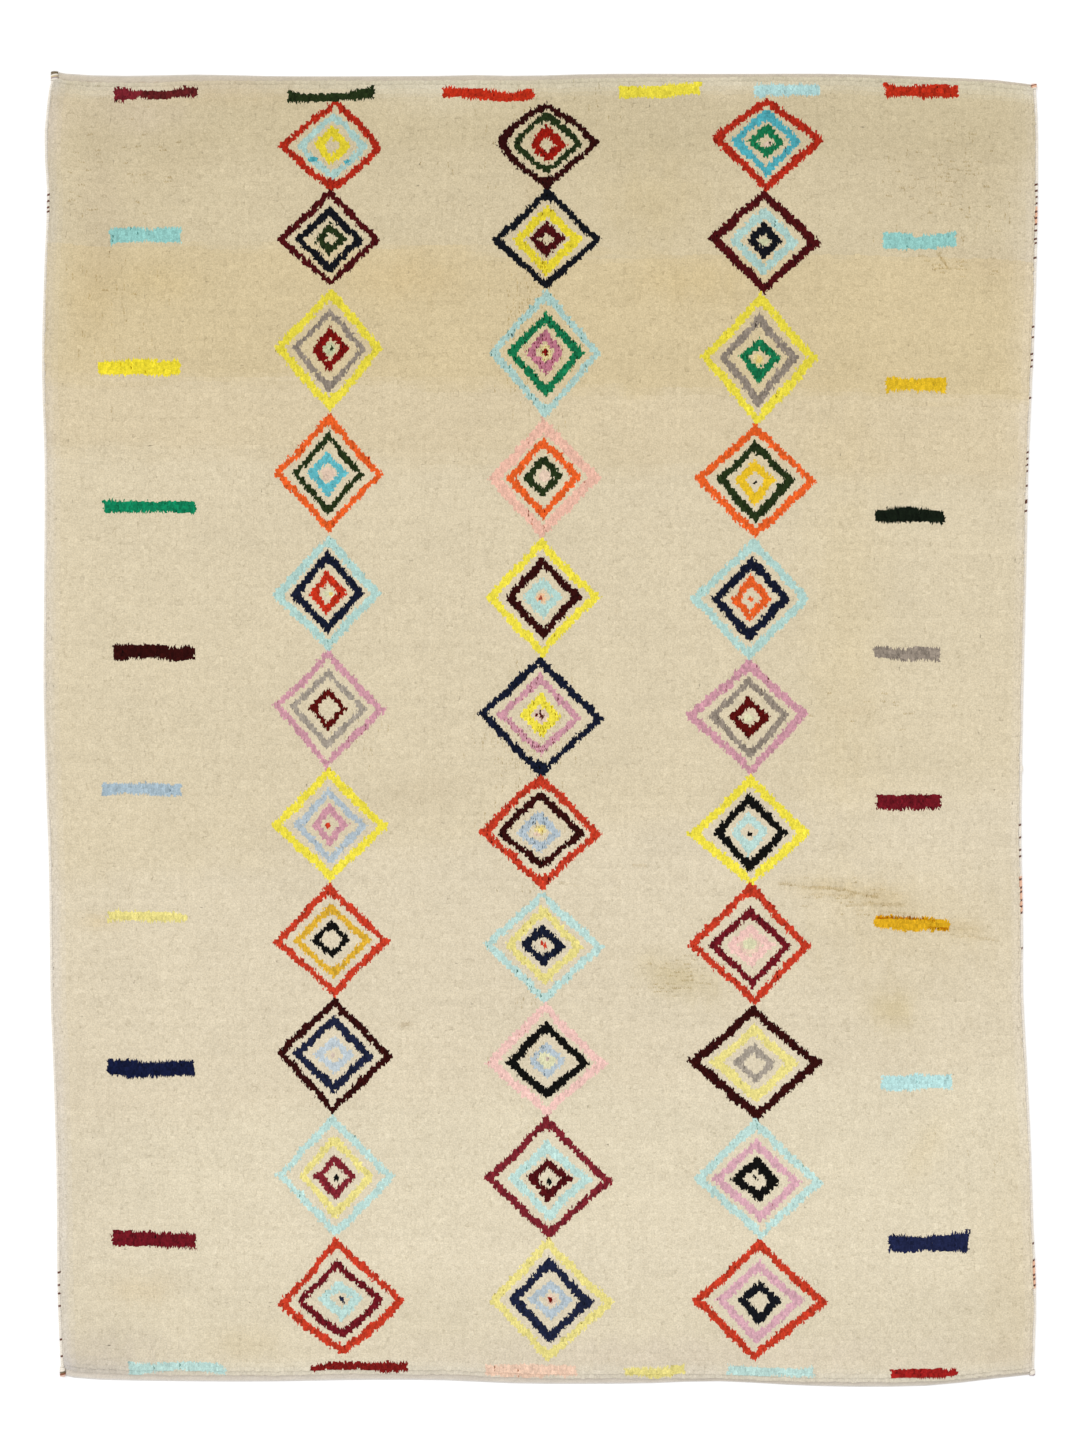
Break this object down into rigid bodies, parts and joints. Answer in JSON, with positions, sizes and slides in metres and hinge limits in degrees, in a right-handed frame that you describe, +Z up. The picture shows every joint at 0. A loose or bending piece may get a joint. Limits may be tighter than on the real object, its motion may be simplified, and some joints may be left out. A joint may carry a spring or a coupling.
{
  "type": "gabbeh rug",
  "caption": "Flat hand-knotted wool rug with short dense pile, flat-woven ends, overcast side bindings and bound corners.",
  "frame": {"origin": "on the floor, at the middle of the rug's outline", "axes": "+Z up out of the pile; +Y along the rug's length towards the end with the bars at the top of the picture; +X across the width, to the right in the picture"},
  "size_m": [1.523, 2.0107, 0.0139],
  "materials": {
    "wool_pile": "hand-spun undyed cream wool with dyed lozenges and bars",
    "binding_yarn": "overcast beige wool yarn with turns of brown",
    "corner_yarn": "brown and rust wool yarn, wound"
  },
  "bodies": {
    "root": {"rug": "wool_pile", "selvedge_left": "binding_yarn", "selvedge_right": "binding_yarn", "corner_wrap_top_left": "corner_yarn", "corner_wrap_top_right": "corner_yarn", "corner_wrap_bottom_left": "corner_yarn", "corner_wrap_bottom_right": "corner_yarn"}
  },
  "joints": []
}
